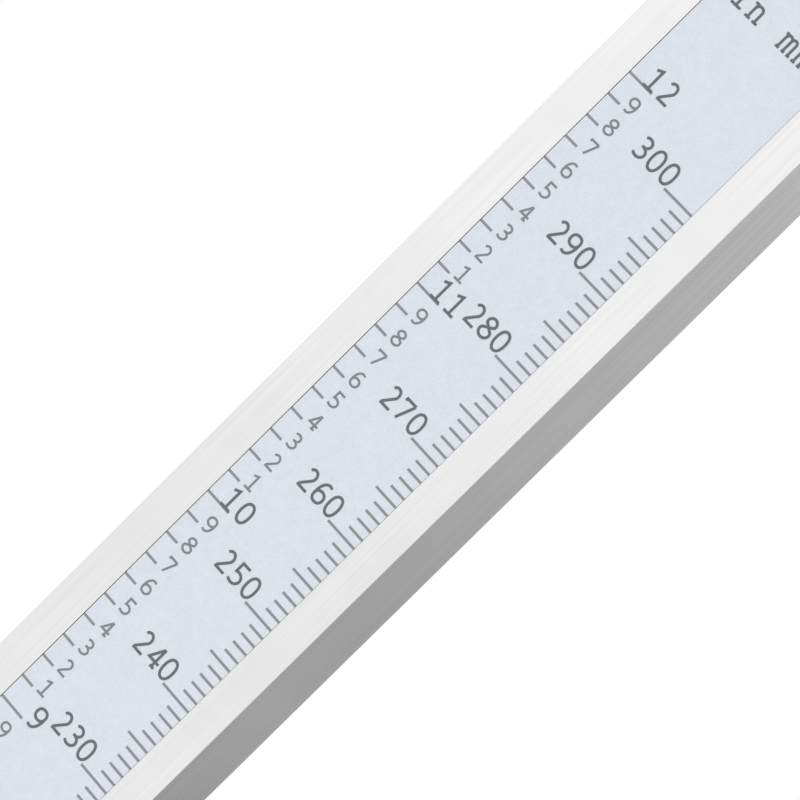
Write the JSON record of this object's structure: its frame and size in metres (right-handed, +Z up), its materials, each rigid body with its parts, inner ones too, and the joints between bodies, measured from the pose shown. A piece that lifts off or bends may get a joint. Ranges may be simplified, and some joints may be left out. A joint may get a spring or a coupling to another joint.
{
  "type": "digital height caliper",
  "caption": "Upright caliper on a heavy base: a graduated steel column with a sliding digital display, fine adjustment and clamped scriber.",
  "frame": {"origin": "on the base's ground underside, straight below the column's axis", "axes": "+Z up the column; -Y the way the scale and display face; -X the way the scriber points"},
  "size_m": [0.204, 0.07, 0.47],
  "materials": {
    "ground_steel": "ground stainless steel, streaks along the length",
    "slider_steel": "satin ground stainless steel",
    "scriber_steel": "fine ground hardened steel",
    "carbide": "polished dark carbide",
    "satin_chrome": "satin chrome plate, knurled",
    "black_screw": "black oxide",
    "steel_screw": "zinc-plated steel",
    "base_paint": "dark grey hammer-finish enamel over cast iron, ground underside",
    "brass": "machined",
    "foil": "pale blue-grey printed polyester",
    "stator": "green glass-epoxy with copper cells",
    "housing": "fine spark-eroded ABS",
    "label": "satin silver printed overlay",
    "lens": "clear polycarbonate",
    "lcd": "grey-green reflective liquid crystal display",
    "board": "green solder mask",
    "chip": "moulded epoxy",
    "button_grey": "matte moulded",
    "button_red": "matte moulded",
    "silicone": "translucent silicone",
    "nickel": "nickel plate",
    "socket_plastic": "moulded"
  },
  "bodies": {
    "stand": {"base": "base_paint", "column": "ground_steel", "stator_strip": "stator", "scale_foil": "foil", "column_clamp_block": "slider_steel", "column_screws": "black_screw", "column_cap": "slider_steel", "column_cap_screws": "steel_screw"},
    "carriage": {"carriage_frame": "slider_steel", "carriage_back_plate": "slider_steel", "carriage_plate_screws": "steel_screw", "carriage_shoe": "brass"},
    "carriage_lock_knob": {"carriage_lock_screw": "satin_chrome"},
    "fine_nut": {"fine_adjust_nut": "satin_chrome"},
    "slider": {"slider_frame": "slider_steel", "slider_back_plate": "slider_steel", "slider_plate_screws": "steel_screw", "gib_strip": "brass", "gib_screws": "steel_screw", "fine_adjust_screw": "steel_screw", "fine_screw_pin": "steel_screw", "housing_tray": "housing", "housing_shell": "housing", "housing_screws": "black_screw", "tray_screws": "steel_screw", "board_screws": "steel_screw", "front_label": "label", "sensor_head": "board", "main_board": "board", "driver_chip": "chip", "lcd_panel": "lcd", "lcd_lens": "lens", "zebra_strips": "silicone", "button_mat": "silicone", "battery_cell": "nickel", "battery_contacts": "nickel", "port_socket": "socket_plastic"},
    "slider_lock_knob": {"slider_lock_screw": "satin_chrome"},
    "clamp": {"scriber_clamp": "slider_steel"},
    "clamp_knob": {"scriber_clamp_screw": "satin_chrome"},
    "scriber": {"scriber": "scriber_steel", "scriber_tip": "carbide"},
    "on_off_button": {"button_on_off": "button_red"},
    "unit_button": {"button_unit": "button_grey"},
    "zero_button": {"button_zero": "button_grey"},
    "hold_button": {"button_hold": "button_grey"},
    "set_button": {"button_set": "button_grey"},
    "battery_cover": {"battery_cover": "housing"},
    "port_cover": {"port_cover": "housing"}
  },
  "joints": [
    {"name": "carriage_travel", "type": "slide", "parent": "stand", "child": "carriage", "axis": [0, 0, 1], "range_m": [-0.06, 0.24]},
    {"name": "fine_nut_spin", "type": "hinge", "parent": "carriage", "child": "fine_nut", "pos_m": [-0.0275, 0, 0.203], "axis": [0, 0, 1], "range_deg": [-2881, 2881]},
    {"name": "fine_adjust_travel", "type": "slide", "parent": "carriage", "child": "slider", "axis": [0, 0, 1], "range_m": [-0.004, 0.004]},
    {"name": "carriage_lock", "type": "hinge", "parent": "carriage", "child": "carriage_lock_knob", "pos_m": [0.022, 0, 0.203], "axis": [1, 0, 0], "range_deg": [0, 270]},
    {"name": "slider_lock", "type": "hinge", "parent": "slider", "child": "slider_lock_knob", "pos_m": [0.022, 0, 0.148], "axis": [1, 0, 0], "range_deg": [-270, 0]},
    {"name": "clamp_slide", "type": "slide", "parent": "slider", "child": "clamp", "axis": [1, 0, 0], "range_m": [-0.003, 0.003]},
    {"name": "clamp_screw_turn", "type": "hinge", "parent": "clamp", "child": "clamp_knob", "pos_m": [-0.058, 0, 0.1], "axis": [0, 0, 1], "range_deg": [0, 360]},
    {"name": "scriber_slide", "type": "slide", "parent": "slider", "child": "scriber", "axis": [1, 0, 0], "range_m": [-0.015, 0.003]},
    {"name": "battery_cover_slide", "type": "slide", "parent": "slider", "child": "battery_cover", "axis": [1, 0, 0], "range_m": [0, 0.027]},
    {"name": "port_cover_pull", "type": "slide", "parent": "slider", "child": "port_cover", "axis": [0, 0, 1], "range_m": [0, 0.006]},
    {"name": "on_off_press", "type": "slide", "parent": "slider", "child": "on_off_button", "axis": [0, 1, 0], "range_m": [0, 0.0006], "stiffness_N_per_m": 1000},
    {"name": "unit_press", "type": "slide", "parent": "slider", "child": "unit_button", "axis": [0, 1, 0], "range_m": [0, 0.0006], "stiffness_N_per_m": 1000},
    {"name": "zero_press", "type": "slide", "parent": "slider", "child": "zero_button", "axis": [0, 1, 0], "range_m": [0, 0.0006], "stiffness_N_per_m": 1000},
    {"name": "hold_press", "type": "slide", "parent": "slider", "child": "hold_button", "axis": [0, 1, 0], "range_m": [0, 0.0006], "stiffness_N_per_m": 1000},
    {"name": "set_press", "type": "slide", "parent": "slider", "child": "set_button", "axis": [0, 1, 0], "range_m": [0, 0.0006], "stiffness_N_per_m": 1000}
  ],
  "couplings": [
    {"joint": "fine_nut_spin", "follows": "fine_adjust_travel", "rad_per_m": -12566}
  ]
}
